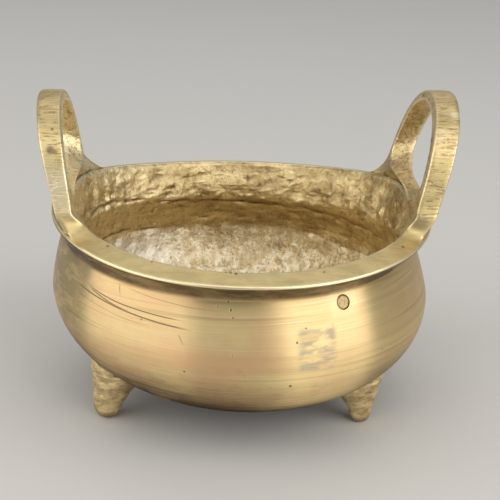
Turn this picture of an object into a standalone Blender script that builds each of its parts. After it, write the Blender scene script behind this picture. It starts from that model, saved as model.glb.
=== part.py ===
"""A bronze tripod incense burner: a squat round bowl with an everted lip, two upright
loop ears that grow out of the lip, and three short conical feet, all cast in one piece.
A small round plug fills the hole that a core pin left in the shoulder.

Units are metres, +Z is up, the ears stand on the X axis and the feet touch z = 0.
"""

import math

import bmesh
import bpy
from mathutils import Matrix, Vector

# Bowl, outside
BELLY_RADIUS = 0.0500  # at its widest
BELLY_HEIGHT = 0.0327  # of the widest ring above the table
NECK_INSET = 0.0039  # how far the neck lies inside the widest ring
NECK_HEIGHT = 0.0453
UNDERSIDE_HEIGHT = 0.0055  # of the flat under the bowl above the table
UNDERSIDE_SAG = 0.0024  # how far the belly's curve aims below that flat
SHOULDER_FULLNESS = 1.25  # superellipse power between neck and widest ring
BELLY_FULLNESS = 2.12  # superellipse power between widest ring and underside

# Lip
LIP_HEIGHT = 0.0522  # of the lip's inner edge
LIP_OVERHANG = 0.0046  # from the neck out to the lip's outer edge
LIP_WIDTH = 0.0060  # from the inner edge to the outer edge
LIP_SLOPE = 0.0012  # fall of the lip's top from inner edge to outer edge
LIP_EDGE_RADIUS = 0.0007
LIP_EDGE_DEGREES = (80, 20, -50)  # where the rounded edge's points stand, from level
LIP_RISE = 0.0034  # how much higher the lip sweeps at the ears than between them
LIP_RISE_POWER = 3.2
LIP_BACK_LIFT = 0.0003  # the back of the lip stands this much higher than the front
LIP_BACK_RISE = 0.0021  # and sweeps up this much more towards the ears
BACK_FROM, BACK_TO = -0.2, 0.4  # sines of the azimuths between which the back begins
NECK_RISE_SHARE = 0.35  # of the lip's rise that the neck follows
LIP_DRAW_IN = 0.0010  # how much the lip's outer edge is drawn in behind the ears
LIP_DRAW_IN_POWER = 8
COVE_POWER = 1.6  # how late the hollow under the lip turns outward

# The casting is not quite true: the bowl leans under its lip, to the right at the bottom
BOWL_LEAN = 0.07
LEAN_HEIGHT = 0.0340  # where the lean crosses the axis

# Bowl, inside
WALL = 0.0040
FLOOR = 0.0042
FLOOR_SAG = 0.0030
THROAT_HEIGHT = 0.0432  # of the narrowest ring inside
RECESS_POWER = 1.4  # of the curve from the throat down to the widest ring inside
FLARE_POWER = 1.5  # of the curve from the throat up to the lip
FLARE_SHARES = (0.35, 0.7)  # of that curve's height at which it has its points
HOLLOW_ABOVE_LIP = 0.0012  # how far the hollow also clears the ears' roots
FLAT_SHARE = 0.93  # of the flat's full radius, under the bowl and on its floor
FLAT_CLEAR = 0.0006  # the curve's last point stays this far above the flat

# Ears: a flat strap bent into an arch, wide face to the front, the two cast a little unlike
RIGHT_EAR_HEIGHT = 0.0329  # above the lip's inner edge
LEFT_EAR_HEIGHT = 0.0311
EAR_HALF_WIDTH = 0.0220
EAR_FLARE_FRONT = 0.0075  # how far the front leg spreads along the lip at its root
EAR_FLARE_BACK = 0.0105
EAR_FLARE_HEIGHT = 0.0085
EAR_STRAP = 0.0034  # strap seen square to the ear
RIGHT_EAR_ROOT = 0.0053  # strap from the inner to the outer face, at lip height
LEFT_EAR_ROOT = 0.0040
RIGHT_EAR_TOP = 0.0066  # the same at the top
LEFT_EAR_TOP = 0.0063
RIGHT_EAR_FOOT = 0.0462  # of the outer face from the bowl's axis, at lip height
LEFT_EAR_FOOT = 0.0463
RIGHT_EAR_REACH = 0.0545  # of the outer face from the bowl's axis, at the top
LEFT_EAR_REACH = 0.0530
EAR_HOLE_HEIGHT = 0.0026  # of the opening's lowest point above the lip
EAR_HOLE_CORNER = 0.0100  # height over which the opening rounds into its sides
EAR_HOLE_SPLAY = 0.0016  # how much further back the opening reaches on the inner face
EAR_ROOT_DEPTH = 0.0016  # how deep the ear's root lies in the lip
EAR_EDGE = 0.0006  # rounding of the strap's edges
EAR_CROWN_EDGE = 0.0016  # the same where the crown's outer edge is filed round
EAR_ROOT_INSET = 0.0003  # of the ear's root from the lip's two edges
EAR_TOE_SINK = 0.0003  # how far the root's two toes dip into the lip
EAR_ROUND_BELOW = 0.0045  # height over which the ear's plan turns from round to flat
ARCH_RISE_POWER = 3.0  # the larger, the straighter the ear's legs
ARCH_SPREAD_POWER = 1.9  # the larger, the squarer the ear's crown
ROOT_FROM, ROOT_WIDTH = 0.15, 0.50  # of the lip's width, the part that the root fills

# Feet, set a little unevenly and filed unlike: distance of the tip from the axis, azimuth
# in degrees, radius at the tip, radius at the cone's top, and how far the top leans inward
FEET = {
    "back_foot": (0.0382, 86.5, 0.0034, 0.0100, 0.0046),
    "left_foot": (0.0384, 204.8, 0.0037, 0.0098, 0.0056),
    "right_foot": (0.0371, 329.7, 0.0030, 0.0106, 0.0039),
}
FOOT_TIP_FLAT = 0.0012  # radius of the small flat that touches the table
FOOT_TIP_HEIGHT = 0.0034  # where the rounded tip ends and the cone begins
FOOT_TOP = 0.0195  # height of the cone's hidden top, inside the bowl's wall

# Plug on the shoulder
PLUG_RADIUS = 0.0018
PLUG_LENGTH = 0.0022
PLUG_BELOW_NECK = 0.0019
PLUG_AZIMUTH = math.radians(-61.1)
CLEARANCE = 0.0003
RECESS_PROUD = 0.0120  # how far the cutter of the plug's hole stands out of the shoulder

# How finely the curves are divided
TURN_STEPS = 72
BELLY_STEPS = 13
INNER_BELLY_STEPS = 10
SHOULDER_STEPS = 6
COVE_STEPS = 4
RECESS_STEPS = 4
FOOT_TIP_STEPS = 4
PLUG_STEPS = 24
WELD = 0.00001
SMOOTH_BELOW = math.radians(35)
FOOT_STEPS = 20
EAR_ARCH_POINTS = 17
EAR_FLARE_POINTS = 8
EAR_ROOT_POINTS = 4

NECK_RADIUS = BELLY_RADIUS - NECK_INSET
LIP_OUTER_RADIUS = NECK_RADIUS + LIP_OVERHANG
LIP_INNER_RADIUS = LIP_OUTER_RADIUS - LIP_WIDTH
LIP_EDGE_HEIGHT = LIP_HEIGHT - LIP_SLOPE
PLUG_HEIGHT = NECK_HEIGHT - PLUG_BELOW_NECK
FLOOR_HEIGHT = UNDERSIDE_HEIGHT + FLOOR
THROAT_RADIUS = NECK_RADIUS - WALL
INNER_BELLY_RADIUS = BELLY_RADIUS - WALL
SET_OVER = (RIGHT_EAR_REACH - LEFT_EAR_REACH) / 2  # brings the middle of the ears to x = 0

BRONZE = (0.47, 0.35, 0.155, 1.0)
PLUG_BRONZE = (0.40, 0.30, 0.14, 1.0)


def clear_scene():
    for obj in list(bpy.data.objects):
        bpy.data.objects.remove(obj)


def new_collection(name):
    collection = bpy.data.collections.new(name)
    bpy.context.scene.collection.children.link(collection)
    return collection


def metal(name, colour, roughness):
    material = bpy.data.materials.new(name)
    material.use_nodes = True
    shader = material.node_tree.nodes["Principled BSDF"]
    shader.inputs["Base Color"].default_value = colour
    shader.inputs["Metallic"].default_value = 1.0
    shader.inputs["Roughness"].default_value = roughness
    return material


def smoothstep(value):
    value = min(1.0, max(0.0, value))
    return value * value * (3 - 2 * value)


def bowl_curve(widest, aim, flat, steps):
    """From the widest ring down a superellipse that aims at one height on the axis, and
    across the flat that cuts it off at another."""
    points = []
    depth = BELLY_HEIGHT - aim
    for i in range(steps + 1):
        angle = math.pi / 2 * i / steps
        radius = widest * math.cos(angle) ** (2 / BELLY_FULLNESS)
        height = BELLY_HEIGHT - depth * math.sin(angle) ** (2 / BELLY_FULLNESS)
        if height > flat + FLAT_CLEAR:
            points.append((radius, height))
    share = (BELLY_HEIGHT - flat) / depth
    flat_radius = widest * (1 - share**BELLY_FULLNESS) ** (1 / BELLY_FULLNESS)
    points.append((flat_radius * FLAT_SHARE, flat))
    points.append((0.0, flat))
    return points


def shoulder_radius(height):
    """Outer radius between the neck and the widest ring."""
    share = (height - BELLY_HEIGHT) / (NECK_HEIGHT - BELLY_HEIGHT)
    return NECK_RADIUS + NECK_INSET * (1 - share**SHOULDER_FULLNESS) ** (1 / SHOULDER_FULLNESS)


def outside_profile():
    """From the axis, out over the closed mouth and the lip, and down to the axis again."""
    edge = LIP_EDGE_RADIUS
    inward = LIP_INNER_RADIUS - LIP_WIDTH / 2
    profile = [(0.0, LIP_HEIGHT), (inward, LIP_HEIGHT), (LIP_INNER_RADIUS, LIP_HEIGHT)]
    for degrees in LIP_EDGE_DEGREES:
        angle = math.radians(degrees)
        radius = LIP_OUTER_RADIUS - edge + edge * math.cos(angle)
        profile.append((radius, LIP_EDGE_HEIGHT - edge + edge * math.sin(angle)))
    cove_top = profile[-1]
    for i in range(1, COVE_STEPS + 1):
        angle = math.pi / 2 * i / COVE_STEPS
        radius = cove_top[0] - (cove_top[0] - NECK_RADIUS) * math.sin(angle)
        height = NECK_HEIGHT + (cove_top[1] - NECK_HEIGHT) * math.cos(angle) ** COVE_POWER
        profile.append((radius, height))
    for i in range(1, SHOULDER_STEPS + 1):
        height = NECK_HEIGHT + (BELLY_HEIGHT - NECK_HEIGHT) * i / SHOULDER_STEPS
        profile.append((shoulder_radius(height), height))
    aim = UNDERSIDE_HEIGHT - UNDERSIDE_SAG
    profile += bowl_curve(BELLY_RADIUS, aim, UNDERSIDE_HEIGHT, BELLY_STEPS)[1:]
    return profile


def inside_profile():
    """The hollow: from the axis, over the floor, up the inside and closed above the mouth."""
    aim = FLOOR_HEIGHT - FLOOR_SAG
    curve = bowl_curve(INNER_BELLY_RADIUS, aim, FLOOR_HEIGHT, INNER_BELLY_STEPS)
    profile = curve[::-1]
    for i in range(1, RECESS_STEPS + 1):
        share = i / RECESS_STEPS
        bulge = math.cos(share * math.pi / 2) ** RECESS_POWER
        radius = THROAT_RADIUS + (INNER_BELLY_RADIUS - THROAT_RADIUS) * bulge
        profile.append((radius, BELLY_HEIGHT + (THROAT_HEIGHT - BELLY_HEIGHT) * share))
    for share in FLARE_SHARES:
        radius = THROAT_RADIUS + (LIP_INNER_RADIUS - THROAT_RADIUS) * share**FLARE_POWER
        profile.append((radius, THROAT_HEIGHT + (LIP_HEIGHT - THROAT_HEIGHT) * share))
    profile.append((LIP_INNER_RADIUS, LIP_HEIGHT))
    profile.append((LIP_INNER_RADIUS, LIP_HEIGHT + HOLLOW_ABOVE_LIP))
    profile.append((0.0, LIP_HEIGHT + HOLLOW_ABOVE_LIP))
    return profile


def applied(obj):
    """The object with its modifiers made real."""
    graph = bpy.context.evaluated_depsgraph_get()
    mesh = bpy.data.meshes.new_from_object(obj.evaluated_get(graph))
    obj.modifiers.clear()
    obj.data = mesh
    return obj


def turned(name, profile, steps, collection):
    """A solid turned about Z from a profile that starts and ends on one line or on the axis."""
    mesh = bpy.data.meshes.new(name)
    points = [(radius, 0.0, height) for radius, height in profile]
    edges = [(i, i + 1) for i in range(len(points) - 1)]
    mesh.from_pydata(points, edges, [])
    obj = bpy.data.objects.new(name, mesh)
    collection.objects.link(obj)
    screw = obj.modifiers.new("Turn", "SCREW")
    screw.steps = steps
    screw.render_steps = steps
    screw.use_merge_vertices = True
    screw.merge_threshold = WELD
    screw.use_normal_calculate = True
    applied(obj)
    weld_and_face_out(obj.data)
    return obj


def weld_and_face_out(mesh):
    """Close a turned mesh, and make the flat at its origin, if it has one, a single face."""
    shape = bmesh.new()
    shape.from_mesh(mesh)
    bmesh.ops.remove_doubles(shape, verts=shape.verts, dist=WELD)
    at_origin = [vertex for vertex in shape.verts if vertex.co.length < WELD]
    bmesh.ops.dissolve_verts(shape, verts=at_origin)
    bmesh.ops.recalc_face_normals(shape, faces=shape.faces)
    shape.to_mesh(mesh)
    shape.free()


def lip_rise(azimuth, height):
    """How far the metal at this place is raised where the lip sweeps up to the ears."""
    to_neck = smoothstep((height - BELLY_HEIGHT) / (NECK_HEIGHT - BELLY_HEIGHT))
    to_lip = smoothstep((height - NECK_HEIGHT) / (LIP_EDGE_HEIGHT - NECK_HEIGHT))
    reach = NECK_RISE_SHARE * to_neck + (1 - NECK_RISE_SHARE) * to_lip
    backward = smoothstep((math.sin(azimuth) - BACK_FROM) / (BACK_TO - BACK_FROM))
    sweep = LIP_RISE * abs(math.cos(azimuth)) ** LIP_RISE_POWER
    sweep += backward * (LIP_BACK_LIFT + LIP_BACK_RISE * math.cos(azimuth) ** 2)
    return sweep * reach


def lean(height):
    """How far the bowl stands to the right at this height."""
    under_lip = 1 - smoothstep((height - NECK_HEIGHT) / (LIP_EDGE_HEIGHT - NECK_HEIGHT))
    return BOWL_LEAN * (LEAN_HEIGHT - height) * under_lip


def lip_drawn_in(azimuth):
    """How far the lip's outer edge is drawn in at this azimuth."""
    return LIP_DRAW_IN * abs(math.cos(azimuth)) ** LIP_DRAW_IN_POWER


def swept_up(obj):
    """Raise the lip towards the ears, draw its outer edge in behind them, lean the bowl."""
    for vertex in obj.data.vertices:
        azimuth = math.atan2(vertex.co.y, vertex.co.x)
        radius = math.hypot(vertex.co.x, vertex.co.y)
        reach = smoothstep((radius - NECK_RADIUS) / (LIP_OUTER_RADIUS - NECK_RADIUS))
        reach *= smoothstep((vertex.co.z - NECK_HEIGHT) / (LIP_EDGE_HEIGHT - NECK_HEIGHT))
        drawn = lip_drawn_in(azimuth) * reach
        vertex.co.x += lean(vertex.co.z) - drawn * math.cos(azimuth)
        vertex.co.y -= drawn * math.sin(azimuth)
        vertex.co.z += lip_rise(azimuth, vertex.co.z)


def arch(share):
    """Half width of an arch of half width 1, from its foot at 0 to its crown at 1."""
    spread = 1 - min(1.0, max(0.0, share)) ** ARCH_RISE_POWER
    return spread ** (1 / ARCH_SPREAD_POWER)


def ear_outline(height, flare):
    """(outer point, opening's point) pairs down one side, from the top to the root's middle."""
    pairs = []
    hole_top = height - EAR_STRAP
    hole_side = EAR_HALF_WIDTH - EAR_STRAP
    corner_top = EAR_HOLE_HEIGHT + EAR_HOLE_CORNER
    for i in range(EAR_ARCH_POINTS):
        share = math.cos(math.pi / 2 * i / (EAR_ARCH_POINTS - 1))
        up = EAR_FLARE_HEIGHT + (height - EAR_FLARE_HEIGHT) * share
        hole_up = corner_top + (hole_top - corner_top) * share
        outer = (EAR_HALF_WIDTH * arch(up / height), up)
        hole = (hole_side * arch(hole_up / hole_top), hole_up)
        pairs.append((outer, hole))
    side = pairs[-1][1][0]
    below = EAR_FLARE_POINTS + EAR_ROOT_POINTS
    for i in range(1, below + 1):
        angle = math.pi / 2 * i / below
        hole = (side * math.cos(angle), corner_top - EAR_HOLE_CORNER * math.sin(angle))
        if i <= EAR_FLARE_POINTS:
            turn = math.pi / 2 * i / EAR_FLARE_POINTS
            up = EAR_FLARE_HEIGHT * (1 - math.sin(turn)) - EAR_TOE_SINK * (i / EAR_FLARE_POINTS) ** 2
            outer = (EAR_HALF_WIDTH * arch(up / height) + flare * (1 - math.cos(turn)), up)
        else:
            share = (i - EAR_FLARE_POINTS) / EAR_ROOT_POINTS
            outer = ((EAR_HALF_WIDTH + flare) * (1 - share), -EAR_ROOT_DEPTH)
        pairs.append((outer, hole))
    return pairs


def on_ear(ear, side, up, depth):
    """The place on an ear at a distance to the side, a height above the lip and a depth
    from 0 on the inner face to 1 on the outer face. The plan is round at the lip and
    flat above it."""
    azimuth = side / LIP_OUTER_RADIUS
    root_width = LIP_WIDTH - 2 * EAR_ROOT_INSET - lip_drawn_in(azimuth)
    radius = LIP_INNER_RADIUS + EAR_ROOT_INSET + root_width * depth
    if up < -EAR_ROOT_DEPTH / 2:
        radius = LIP_INNER_RADIUS + LIP_WIDTH * (ROOT_FROM + ROOT_WIDTH * depth)
    lip_fall = LIP_SLOPE * depth
    lip_top = LIP_HEIGHT - lip_fall + lip_rise(azimuth, LIP_HEIGHT)
    on_lip = Vector((radius * math.cos(azimuth), radius * math.sin(azimuth), lip_top + up))
    thickness = ear["root"] + (ear["top"] - ear["root"]) * up / ear["height"]
    outer_face = ear["foot"] + (ear["reach"] - ear["foot"]) * up / ear["height"]
    sunk = lip_rise(azimuth, LIP_HEIGHT) * max(0.0, 1 - up / ear["height"])
    upright = Vector((outer_face - (1 - depth) * thickness, side, LIP_HEIGHT + sunk + up))
    return on_lip.lerp(upright, smoothstep(up / EAR_ROUND_BELOW))


def strap_section(splay, crown):
    """Points round a strap's section as (share from opening to outside, depth), edges
    rounded. Splay moves the opening's corner on the inner face outward; crown runs from
    0 on the sides to 1 on top, where the outermost corner is filed round."""
    filed = EAR_EDGE + (EAR_CROWN_EDGE - EAR_EDGE) * crown
    corners = [(1, 1, filed), (1, 0, EAR_EDGE), (splay, 0, EAR_EDGE), (0, 1, EAR_EDGE)]
    cut = 1 - math.cos(math.pi / 4)
    points = []
    for share, depth, edge in corners:
        toward_share = -edge / EAR_STRAP if share == 1 else edge / EAR_STRAP
        toward_depth = -edge / LEFT_EAR_TOP if depth else edge / LEFT_EAR_TOP
        near = (share, depth + toward_depth)
        middle = (share + cut * toward_share, depth + cut * toward_depth)
        far = (share + toward_share, depth)
        points += [far, middle, near] if (share == 1) == (depth == 1) else [near, middle, far]
    return points


def make_ear(name, direction, ear, collection):
    """Sections of the strap set round the opening and joined into a closed loop."""
    front = ear_outline(ear["height"], EAR_FLARE_FRONT)
    back = ear_outline(ear["height"], EAR_FLARE_BACK)
    whole = [((-o[0], o[1]), (-h[0], h[1])) for o, h in front]
    whole += reversed(back[1:-1])
    shape = bmesh.new()
    rings = []
    for outer, hole in whole:
        backward = max(0.0, hole[0] / EAR_HALF_WIDTH)
        splay = backward * EAR_HOLE_SPLAY / EAR_STRAP
        crown = smoothstep(outer[1] / ear["height"] * 3 - 2)
        ring = []
        for share, depth in strap_section(splay, crown):
            side = hole[0] + (outer[0] - hole[0]) * share
            up = hole[1] + (outer[1] - hole[1]) * share
            place = on_ear(ear, side, up, depth)
            ring.append(shape.verts.new((place.x * direction, place.y, place.z)))
        rings.append(ring)
    for ring, following in zip(rings, rings[1:] + rings[:1]):
        for k in range(len(ring)):
            after = (k + 1) % len(ring)
            shape.faces.new((ring[k], ring[after], following[after], following[k]))
    bmesh.ops.recalc_face_normals(shape, faces=shape.faces)
    mesh = bpy.data.meshes.new(name)
    shape.to_mesh(mesh)
    shape.free()
    made = bpy.data.objects.new(name, mesh)
    collection.objects.link(made)
    return made


def make_foot(name, tip, azimuth, tip_radius, top_radius, inward, collection):
    """A leaning cone with a rounded tip, its upper end reaching through the bowl's wall."""
    profile = [(0.0, FOOT_TOP), (top_radius, FOOT_TOP)]
    for i in range(FOOT_TIP_STEPS + 1):
        angle = math.pi / 2 * i / FOOT_TIP_STEPS
        radius = FOOT_TIP_FLAT + (tip_radius - FOOT_TIP_FLAT) * math.cos(angle)
        profile.append((radius, FOOT_TIP_HEIGHT * (1 - math.sin(angle))))
    profile.append((0.0, 0.0))
    foot = turned(name, profile, FOOT_STEPS, collection)
    for vertex in foot.data.vertices:
        risen = max(0.0, vertex.co.z - FOOT_TIP_HEIGHT) / (FOOT_TOP - FOOT_TIP_HEIGHT)
        vertex.co.x += (tip - inward * risen) * math.cos(azimuth)
        vertex.co.y += (tip - inward * risen) * math.sin(azimuth)
    return foot


def plug_frame():
    """A matrix at the plug's outer face, its Z axis square to the shoulder and pointing out."""
    step = PLUG_RADIUS / 10
    radius = shoulder_radius(PLUG_HEIGHT)
    slope = (shoulder_radius(PLUG_HEIGHT + step) - shoulder_radius(PLUG_HEIGHT - step)) / (2 * step)
    outward = Vector((math.cos(PLUG_AZIMUTH), math.sin(PLUG_AZIMUTH), 0.0))
    normal = (outward - slope * Vector((0, 0, 1))).normalized()
    rise = lip_rise(PLUG_AZIMUTH, PLUG_HEIGHT)
    place = outward * radius + Vector((lean(PLUG_HEIGHT), 0, PLUG_HEIGHT + rise))
    return Matrix.Translation(place) @ normal.to_track_quat("Z", "Y").to_matrix().to_4x4()


def cylinder(name, radius, bottom, top, collection):
    """A closed cylinder about the local Z axis of the plug's frame."""
    shape = bmesh.new()
    bmesh.ops.create_cone(
        shape,
        cap_ends=True,
        segments=PLUG_STEPS,
        radius1=radius,
        radius2=radius,
        depth=top - bottom,
    )
    bmesh.ops.translate(shape, verts=shape.verts, vec=(0, 0, (top + bottom) / 2))
    mesh = bpy.data.meshes.new(name)
    shape.to_mesh(mesh)
    shape.free()
    obj = bpy.data.objects.new(name, mesh)
    obj.matrix_world = plug_frame()
    collection.objects.link(obj)
    return obj


def combine(target, other, operation):
    modifier = target.modifiers.new(other.name, "BOOLEAN")
    modifier.operation = operation
    modifier.object = other
    modifier.solver = "EXACT"


def as_helper(obj):
    obj.hide_render = True
    obj.display_type = "WIRE"


def main():
    clear_scene()
    parts = new_collection("tripod_incense_burner")
    helpers = new_collection("helpers")
    bronze = metal("bronze", BRONZE, 0.36)
    plug_bronze = metal("plug_bronze", PLUG_BRONZE, 0.42)

    censer = turned("censer", outside_profile(), TURN_STEPS, parts)
    swept_up(censer)
    right = {
        "height": RIGHT_EAR_HEIGHT,
        "root": RIGHT_EAR_ROOT,
        "top": RIGHT_EAR_TOP,
        "foot": RIGHT_EAR_FOOT,
        "reach": RIGHT_EAR_REACH,
    }
    left = {
        "height": LEFT_EAR_HEIGHT,
        "root": LEFT_EAR_ROOT,
        "top": LEFT_EAR_TOP,
        "foot": LEFT_EAR_FOOT,
        "reach": LEFT_EAR_REACH,
    }
    joined = [make_ear("right_ear", 1, right, helpers), make_ear("left_ear", -1, left, helpers)]
    for name, (tip, degrees, tip_radius, top_radius, inward) in FEET.items():
        azimuth = math.radians(degrees)
        joined.append(make_foot(name, tip, azimuth, tip_radius, top_radius, inward, helpers))
    for shape in joined:
        combine(censer, shape, "UNION")
        as_helper(shape)
    hollow = turned("hollow", inside_profile(), TURN_STEPS, helpers)
    swept_up(hollow)
    combine(censer, hollow, "DIFFERENCE")
    as_helper(hollow)
    recess_bottom = -PLUG_LENGTH - CLEARANCE
    recess = cylinder("plug_recess", PLUG_RADIUS + CLEARANCE, recess_bottom, RECESS_PROUD, helpers)
    combine(censer, recess, "DIFFERENCE")
    as_helper(recess)
    censer.data.materials.append(bronze)
    plug = cylinder("shoulder_plug", PLUG_RADIUS, -PLUG_LENGTH, 0.0, parts)
    plug.data.materials.append(plug_bronze)
    for obj in (censer, plug):
        obj.data.shade_smooth()
        obj.data.set_sharp_from_angle(angle=SMOOTH_BELOW)
    for obj in bpy.data.objects:
        obj.matrix_world = Matrix.Translation((-SET_OVER, 0, 0)) @ obj.matrix_world


main()
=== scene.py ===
"""The bronze tripod incense burner as it looks in the photograph: a bowl turned on its
outside, a lip and two ears dressed with a file, and an inside left as it came from the mould.

Units are metres. The ears stand on the X axis and the camera looks from the -Y side."""

import math

import bpy
import numpy as np
from mathutils import Matrix, Vector, noise


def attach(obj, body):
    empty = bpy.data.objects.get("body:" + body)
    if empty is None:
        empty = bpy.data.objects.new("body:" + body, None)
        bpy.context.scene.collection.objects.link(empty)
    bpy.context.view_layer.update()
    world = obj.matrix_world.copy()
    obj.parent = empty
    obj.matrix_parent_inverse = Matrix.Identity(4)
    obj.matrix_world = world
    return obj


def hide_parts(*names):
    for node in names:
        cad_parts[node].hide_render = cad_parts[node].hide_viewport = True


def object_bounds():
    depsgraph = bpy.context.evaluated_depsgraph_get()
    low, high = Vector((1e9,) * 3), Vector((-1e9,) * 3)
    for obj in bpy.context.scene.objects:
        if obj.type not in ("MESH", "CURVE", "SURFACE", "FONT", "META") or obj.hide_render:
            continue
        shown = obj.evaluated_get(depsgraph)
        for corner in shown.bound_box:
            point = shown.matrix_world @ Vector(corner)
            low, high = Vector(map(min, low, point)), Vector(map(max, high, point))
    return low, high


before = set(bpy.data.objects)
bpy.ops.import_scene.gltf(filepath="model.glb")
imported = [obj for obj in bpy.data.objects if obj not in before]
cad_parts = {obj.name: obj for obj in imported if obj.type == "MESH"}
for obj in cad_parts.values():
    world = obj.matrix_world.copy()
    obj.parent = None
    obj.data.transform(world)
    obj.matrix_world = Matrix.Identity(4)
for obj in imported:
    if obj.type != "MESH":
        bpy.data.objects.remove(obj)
cad_low, cad_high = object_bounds()
noise.seed_set(7)  # keeps the grain on the ears the same in every run

# Bowl, outside
BELLY_RADIUS = 0.0500
BELLY_HEIGHT = 0.0327
NECK_RADIUS = 0.0461
NECK_HEIGHT = 0.0453
UNDERSIDE_HEIGHT = 0.0055
UNDERSIDE_SAG = 0.0024
SHOULDER_FULLNESS = 1.25
BELLY_FULLNESS = 2.12
FLAT_SHARE = 0.93  # how far out the flat of a floor reaches
FLAT_CLEARANCE = 0.0006

# Lip
LIP_HEIGHT = 0.0522
LIP_OUTER_RADIUS = 0.0507
LIP_WIDTH = 0.0060
LIP_INNER_RADIUS = LIP_OUTER_RADIUS - LIP_WIDTH
LIP_SLOPE = 0.0012
LIP_EDGE_RADIUS = 0.0007
LIP_EDGE_FROM, LIP_EDGE_TURN = -50, 130  # degrees
LIP_ROUNDING = 0.0004
LIP_EDGE_HEIGHT = LIP_HEIGHT - LIP_SLOPE
LIP_RISE = 0.0034
LIP_RISE_POWER = 3.2
LIP_BACK_LIFT = 0.0003
LIP_BACK_RISE = 0.0021
BACK_FROM, BACK_TO = -0.2, 0.4
NECK_RISE_SHARE = 0.35
LIP_DRAW_IN = 0.0010
LIP_DRAW_IN_POWER = 8
COVE_POWER = 1.6

# The bowl leans under its lip, to the right at the bottom
BOWL_LEAN = 0.07
LEAN_HEIGHT = 0.0340

# Bowl, inside
WALL = 0.0040
FLOOR_HEIGHT = 0.0097
FLOOR_SAG = 0.0030
THROAT_HEIGHT = 0.0432
THROAT_RADIUS = NECK_RADIUS - WALL
INNER_BELLY_RADIUS = BELLY_RADIUS - WALL
INNER_SHOULDER_POWER = 1.4
THROAT_POWER = 1.5

# Ears
EARS = {
    "right_ear": {
        "direction": 1,
        "height": 0.0329,
        "root": 0.0053,
        "top": 0.0066,
        "foot": 0.0462,
        "reach": 0.0545,
    },
    "left_ear": {
        "direction": -1,
        "height": 0.0311,
        "root": 0.0040,
        "top": 0.0063,
        "foot": 0.0463,
        "reach": 0.0530,
    },
}
EAR_HALF_WIDTH = 0.0220
EAR_FLARE_FRONT = 0.0075
EAR_FLARE_BACK = 0.0105
EAR_FLARE_HEIGHT = 0.0085
EAR_STRAP = 0.0034
EAR_TOP = 0.0063  # from the inner to the outer face, for the rounding of the edges
EAR_HOLE_HEIGHT = 0.0026
EAR_HOLE_CORNER = 0.0100
EAR_HOLE_SPLAY = 0.0016
EAR_ROOT_DEPTH = 0.0016
EAR_EDGE = 0.0006
EAR_CROWN_EDGE = 0.0016
EAR_ROOT_INSET = 0.0003
EAR_TOE_SINK = 0.0003
EAR_ROUND_BELOW = 0.0045
FILED_ROUND = 15  # how many of the faces round the strap are filed smooth
EAR_GRAIN = 0.0013
EAR_ROUGHNESS = 0.00012
ARCH_RISE_POWER = 3.0
ARCH_SPREAD_POWER = 1.9

# Feet: distance of the tip from the axis, azimuth in degrees, radius at the tip, radius
# at the cone's top, and how far the top leans inward
FEET = {
    "back_foot": (0.0382, 86.5, 0.0034, 0.0100, 0.0046),
    "left_foot": (0.0384, 204.8, 0.0037, 0.0098, 0.0056),
    "right_foot": (0.0371, 329.7, 0.0030, 0.0106, 0.0039),
}
FOOT_TIP_FLAT = 0.0012
FOOT_TIP_HEIGHT = 0.0034
FOOT_TOP = 0.0195
FOOT_BITE = 0.0020  # how deep its top lies in the bowl's wall
FOOT_MARK_DEPTH = 0.00012
FOOT_MARKS_AROUND, FOOT_MARKS_UP = 200, 900  # marks to a metre

# Plug
PLUG_RADIUS = 0.0018
PLUG_LENGTH = 0.0022
PLUG_HEIGHT = NECK_HEIGHT - 0.0019
PLUG_AZIMUTH = math.radians(-61.1)
PLUG_GAP = 0.0003
RECESS_PROUD = 0.0040  # how far its cutter stands out of the shoulder

# Rings of points along the bowl's section, and steps of each turn about an axis
FLAT_RINGS = 9
BELLY_RINGS = 46
SHOULDER_RINGS = 20
COVE_RINGS = 14
EDGE_POINTS = 10
LIP_TOP_RINGS = 8
ROUNDING_RINGS = 4
THROAT_RINGS = 26
INNER_SHOULDER_RINGS = 30
INNER_BELLY_RINGS = 52
BOWL_TURN_STEPS = 288
FOOT_TURN_STEPS = 56
PLUG_TURN_STEPS = 48

# Joining
WELD = 0.00001
JOINED_WELD = WELD * 4
TOE_BLEND = 0.0042
TOE_BLEND_BELOW = 0.0012
TOE_SMOOTHINGS = 24
SMOOTH_ANGLE = math.radians(38)
SET_OVER = 0.00075  # how far the whole casting is moved to the left to stand centred

# Small marks: on the belly by front azimuth in degrees, height and size, on the lip by place
TURNED_PITS = [
    (-5.9, 0.0436, 0.00045), (-5.2, 0.0419, 0.00035),
    (-6.7, 0.0453, 0.00035), (-9.6, 0.0443, 0.00030),
    (-18.1, 0.0278, 0.00035), (12.6, 0.0360, 0.00035),
    (11.6, 0.0244, 0.00050),
]
LIP_MARKS = [
    (-0.0061, -0.0446, 0.0521, 0.0005), (-0.0050, -0.0450, 0.0521, 0.0004),
    (-0.0038, -0.0454, 0.0521, 0.0005), (-0.0025, -0.0450, 0.0521, 0.0004),
    (-0.0013, -0.0446, 0.0521, 0.0005), (0.0050, -0.0444, 0.0521, 0.0004),
    (0.0168, -0.0435, 0.0521, 0.0004), (-0.0364, -0.0261, 0.0535, 0.0007),
    (-0.0338, -0.0311, 0.0530, 0.0006), (-0.0284, -0.0358, 0.0525, 0.0004),
    (-0.0232, -0.0393, 0.0523, 0.0004),
]
EAR_STAINS = [
    (-0.0482, -0.0187, 0.0732, 0.0015, 0.75),
    (-0.0470, -0.0189, 0.0728, 0.0010, 0.6),
    (-0.0479, -0.0153, 0.0775, 0.0006, 0.85),
    (0.0428, -0.0231, 0.0575, 0.0030, 0.45),
    (0.0378, -0.0292, 0.0531, 0.0006, 0.9),
]
# Painted highlights on the ears, by place and radius: spots lightened where the ears catch a
# reflection
EAR_PAINTED_HIGHLIGHTS = [
    (0.0522, -0.0112, 0.0818, 0.0022),
    (-0.0457, -0.0216, 0.0640, 0.0085),
]

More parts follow.
